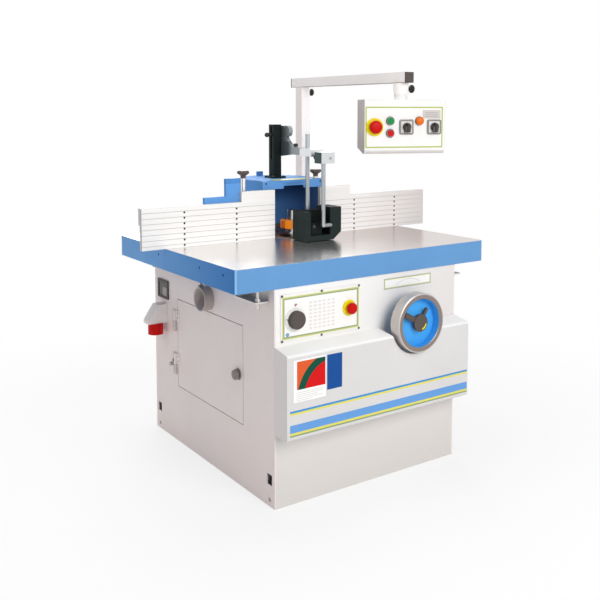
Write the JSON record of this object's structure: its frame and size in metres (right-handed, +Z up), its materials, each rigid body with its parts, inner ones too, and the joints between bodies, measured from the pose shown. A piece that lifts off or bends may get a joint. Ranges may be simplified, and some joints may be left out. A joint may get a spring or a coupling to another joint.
{
  "type": "spindle moulder",
  "caption": "Floor-standing spindle moulder with cabinet, cast table, rising spindle, hooded fence, presser shoe and overhead control box.",
  "frame": {"origin": "on the floor, under the spindle axis", "axes": "+Z up along the spindle, +Y away from the operator, +X to the operator's right"},
  "size_m": [1.459, 1.21, 1.5953],
  "materials": {
    "table_blue": "painted sides, ground top",
    "bright_steel": "turned",
    "cabinet_grey": "satin",
    "cover_white": "satin",
    "plate_grey": "satin",
    "collar_yellow": "gloss",
    "stop_red": "gloss",
    "button_green": "gloss",
    "grey_plastic": "matte",
    "dark_plastic": "matte",
    "arm_grey": "satin",
    "cast_grey": "painted",
    "motor_grey": "painted",
    "belt_black": "matte",
    "pulley_alloy": "turned",
    "cutter_orange": "satin",
    "knife_steel": "ground",
    "fence_alloy": "anodised",
    "hood_blue": "painted",
    "presser_dark": "satin",
    "column_dark": "satin",
    "lever_grey": "cast"
  },
  "bodies": {
    "machine": {"base_frame": "cabinet_grey", "left_side_panel": "cabinet_grey", "right_side_panel": "cabinet_grey", "front_panel": "cover_white", "front_cover": "cover_white", "rear_cover": "cabinet_grey", "table": "table_blue", "table_rings": "bright_steel", "control_plate": "plate_grey", "front_stop_collar": "collar_yellow", "dust_spout": "grey_plastic", "side_window": "dark_plastic", "inlet_housing": "grey_plastic", "inlet_collar": "stop_red", "door_hinges": "bright_steel", "table_brackets": "bright_steel", "arm_post": "arm_grey", "guide_bracket": "cast_grey"},
    "carriage": {"lift_carriage": "cast_grey", "motor": "motor_grey", "drive_belt": "belt_black"},
    "spindle": {"spindle_shaft": "bright_steel", "spindle_pulley": "pulley_alloy", "spacer_rings": "bright_steel", "cutter_block": "cutter_orange", "cutter_knives": "knife_steel", "spindle_nut": "bright_steel"},
    "rotor": {"motor_pulley": "pulley_alloy"},
    "screw": {"lift_screw": "bright_steel"},
    "wheel": {"handwheel": "bright_steel", "handwheel_shaft": "bright_steel", "crank_handle": "dark_plastic"},
    "door": {"door_panel": "cabinet_grey"},
    "latch": {"door_knob": "dark_plastic"},
    "hood": {"fence_hood": "hood_blue", "fence_carriers": "hood_blue", "presser_column": "column_dark", "presser_arm": "lever_grey", "rod_clamps": "lever_grey"},
    "left_fence": {"left_fence_plate": "fence_alloy"},
    "right_fence": {"right_fence_plate": "fence_alloy"},
    "left_clamp": {"left_clamp_knob": "dark_plastic"},
    "right_clamp": {"right_clamp_knob": "dark_plastic"},
    "column_clamp": {"column_knob": "dark_plastic"},
    "presser": {"presser_rods": "bright_steel", "presser_shoe": "presser_dark"},
    "arm": {"swivel_arm": "arm_grey", "arm_end_caps": "dark_plastic"},
    "arm_clamp": {"arm_knob": "dark_plastic"},
    "box_clamp": {"box_knob": "dark_plastic"},
    "panel_box": {"control_box": "arm_grey", "box_bezels": "grey_plastic", "box_stop_collar": "collar_yellow"},
    "box_stop": {"box_stop_cap": "stop_red"},
    "green": {"green_button": "button_green"},
    "red": {"red_button": "stop_red"},
    "first_selector": {"left_selector": "dark_plastic"},
    "second_selector": {"right_selector": "dark_plastic"},
    "front_stop": {"front_stop_cap": "stop_red"},
    "dial": {"front_dial": "dark_plastic"}
  },
  "joints": [
    {"name": "handwheel_turn", "type": "hinge", "parent": "machine", "child": "wheel", "pos_m": [0.1325, 0, 0.62], "axis": [0, 1, 0], "range_deg": [-9000, 2880]},
    {"name": "spindle_lift", "type": "slide", "parent": "machine", "child": "carriage", "axis": [0, 0, 1], "range_m": [-0.126, 0.041]},
    {"name": "lift_screw_turn", "type": "hinge", "parent": "machine", "child": "screw", "pos_m": [0.1325, 0.04, 0.45], "axis": [0, 0, 1], "range_deg": [-9100, 2920]},
    {"name": "motor_spin", "type": "hinge", "parent": "carriage", "child": "rotor", "pos_m": [-0.25, 0, 0.52], "axis": [0, 0, 1], "continuous": true},
    {"name": "spindle_spin", "type": "hinge", "parent": "carriage", "child": "spindle", "pos_m": [0, 0, 0.7], "axis": [0, 0, 1], "continuous": true},
    {"name": "door_swing", "type": "hinge", "parent": "machine", "child": "door", "pos_m": [-0.4738, 0.222, 0.43], "axis": [0, 0, -1], "range_deg": [0, 100]},
    {"name": "door_knob_turn", "type": "hinge", "parent": "door", "child": "latch", "pos_m": [-0.4675, -0.309, 0.434], "axis": [-1, 0, 0], "range_deg": [0, 90]},
    {"name": "hood_slide", "type": "slide", "parent": "machine", "child": "hood", "axis": [0, 1, 0], "range_m": [-0.06, 0.02]},
    {"name": "left_fence_slide", "type": "slide", "parent": "hood", "child": "left_fence", "axis": [1, 0, 0], "range_m": [-0.045, 0.045]},
    {"name": "right_fence_slide", "type": "slide", "parent": "hood", "child": "right_fence", "axis": [1, 0, 0], "range_m": [-0.045, 0.045]},
    {"name": "left_clamp_turn", "type": "hinge", "parent": "hood", "child": "left_clamp", "pos_m": [-0.246, 0.0233, 1.149], "axis": [0, 0, 1], "range_deg": [-180, 180]},
    {"name": "right_clamp_turn", "type": "hinge", "parent": "hood", "child": "right_clamp", "pos_m": [0.138, 0.0373, 1.14], "axis": [0, 0, 1], "range_deg": [-180, 180]},
    {"name": "column_knob_turn", "type": "hinge", "parent": "hood", "child": "column_clamp", "pos_m": [-0.02, 0.1573, 1.325], "axis": [-1, 0, 0], "range_deg": [-180, 180]},
    {"name": "shoe_slide", "type": "slide", "parent": "hood", "child": "presser", "axis": [0, 0, 1], "range_m": [0, 0.1]},
    {"name": "arm_swivel", "type": "hinge", "parent": "machine", "child": "arm", "pos_m": [0.3635, 0.466, 1.55], "axis": [0, 0, 1], "range_deg": [-5, 80]},
    {"name": "arm_knob_turn", "type": "hinge", "parent": "machine", "child": "arm_clamp", "pos_m": [0.4005, 0.466, 1.526], "axis": [1, 0, 0], "range_deg": [-180, 180]},
    {"name": "box_swivel", "type": "hinge", "parent": "arm", "child": "panel_box", "pos_m": [0.3635, -0.274, 1.5], "axis": [0, 0, 1], "range_deg": [-40, 60]},
    {"name": "box_knob_turn", "type": "hinge", "parent": "arm", "child": "box_clamp", "pos_m": [0.4085, -0.274, 1.5263], "axis": [1, 0, 0], "range_deg": [-180, 180]},
    {"name": "box_stop_push", "type": "slide", "parent": "panel_box", "child": "box_stop", "axis": [0.342, 0.9397, 0], "range_m": [0, 0.005], "stiffness_N_per_m": 600},
    {"name": "green_push", "type": "slide", "parent": "panel_box", "child": "green", "axis": [0.342, 0.9397, 0], "range_m": [0, 0.003], "stiffness_N_per_m": 300},
    {"name": "red_push", "type": "slide", "parent": "panel_box", "child": "red", "axis": [0.342, 0.9397, 0], "range_m": [0, 0.003], "stiffness_N_per_m": 300},
    {"name": "left_selector_turn", "type": "hinge", "parent": "panel_box", "child": "first_selector", "pos_m": [0.35703, -0.31953, 1.363], "axis": [-0.342, -0.9397, 0], "range_deg": [-45, 45]},
    {"name": "right_selector_turn", "type": "hinge", "parent": "panel_box", "child": "second_selector", "pos_m": [0.47568, -0.36272, 1.363], "axis": [-0.342, -0.9397, 0], "range_deg": [-45, 45]},
    {"name": "front_stop_push", "type": "slide", "parent": "machine", "child": "front_stop", "axis": [0, 1, 0], "range_m": [0, 0.005], "stiffness_N_per_m": 600},
    {"name": "front_dial_turn", "type": "hinge", "parent": "machine", "child": "dial", "pos_m": [-0.381, -0.57, 0.686], "axis": [0, -1, 0], "range_deg": [-90, 90]}
  ],
  "couplings": [
    {"joint": "spindle_lift", "follows": "handwheel_turn", "m_per_rad": 0.00079577},
    {"joint": "lift_screw_turn", "follows": "handwheel_turn", "ratio": 1},
    {"joint": "spindle_spin", "follows": "motor_spin", "ratio": 1.6}
  ]
}
